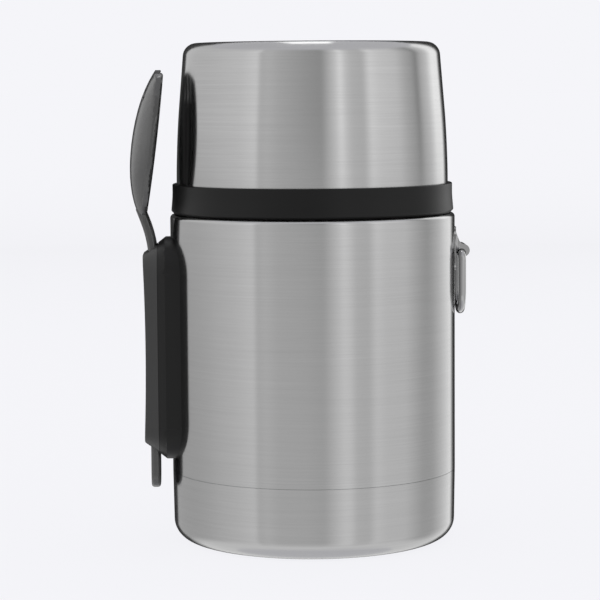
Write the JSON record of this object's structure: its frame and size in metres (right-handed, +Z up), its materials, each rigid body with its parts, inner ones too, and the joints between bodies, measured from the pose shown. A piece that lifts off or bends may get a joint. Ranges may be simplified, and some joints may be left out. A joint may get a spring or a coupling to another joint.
{
  "type": "insulated food jar",
  "caption": "Double-walled steel food jar with screw stopper, bowl lid over a black screw collar, spork in a side holder and a hanging ring.",
  "frame": {"origin": "on the jar's axis, in the plane that the jar stands on", "axes": "+Z up along the jar's axis, +X towards the hanging ring, -X towards the spork and its holder"},
  "size_m": [0.1188, 0.1, 0.1744],
  "materials": {
    "brushed_steel": "circumferentially brushed, clear",
    "inner_steel": "satin",
    "seal_bead": "cast bead",
    "getter_alloy": "matt",
    "bright_steel": "polished",
    "black_plastic": "satin, fine grain",
    "spork_plastic": "satin gloss",
    "stopper_plastic": "satin",
    "silicone": "matt",
    "foam": "closed-cell foam",
    "screw_steel": "plain"
  },
  "bodies": {
    "jar": {"outer_shell": "brushed_steel", "base_cup": "brushed_steel", "vacuum_bottom": "inner_steel", "vacuum_seal": "seal_bead", "getter": "getter_alloy", "inner_liner": "inner_steel", "ring_bracket": "bright_steel", "weld_bosses": "screw_steel", "holder_base": "black_plastic", "holder_cover": "black_plastic", "holder_screws": "screw_steel"},
    "lid_gasket": {"lid_seal": "silicone"},
    "lid": {"lid_shell": "brushed_steel", "lid_bowl": "inner_steel", "lid_collar": "black_plastic"},
    "stopper_gasket": {"stopper_seal": "silicone"},
    "stopper": {"stopper_body": "stopper_plastic", "stopper_cap": "stopper_plastic", "stopper_foam": "foam"},
    "spork": {"spork": "spork_plastic"},
    "ring": {"carry_ring": "bright_steel"}
  },
  "joints": [
    {"name": "lid_lift", "type": "slide", "parent": "jar", "child": "lid_gasket", "axis": [0, 0, 1], "range_m": [0, 0.12]},
    {"name": "lid_turn", "type": "hinge", "parent": "lid_gasket", "child": "lid", "pos_m": [0, 0, 0.115], "axis": [0, 0, 1], "range_deg": [0, 360]},
    {"name": "stopper_lift", "type": "slide", "parent": "jar", "child": "stopper_gasket", "axis": [0, 0, 1], "range_m": [0, 0.02]},
    {"name": "stopper_turn", "type": "hinge", "parent": "stopper_gasket", "child": "stopper", "pos_m": [0, 0, 0.1274], "axis": [0, 0, 1], "range_deg": [0, 270]},
    {"name": "spork_slide", "type": "slide", "parent": "jar", "child": "spork", "axis": [0, 0, 1], "range_m": [0, 0.095]},
    {"name": "ring_swing", "type": "hinge", "parent": "jar", "child": "ring", "pos_m": [0.05205, 0, 0.1006], "axis": [0, -1, 0], "range_deg": [0, 170]}
  ]
}
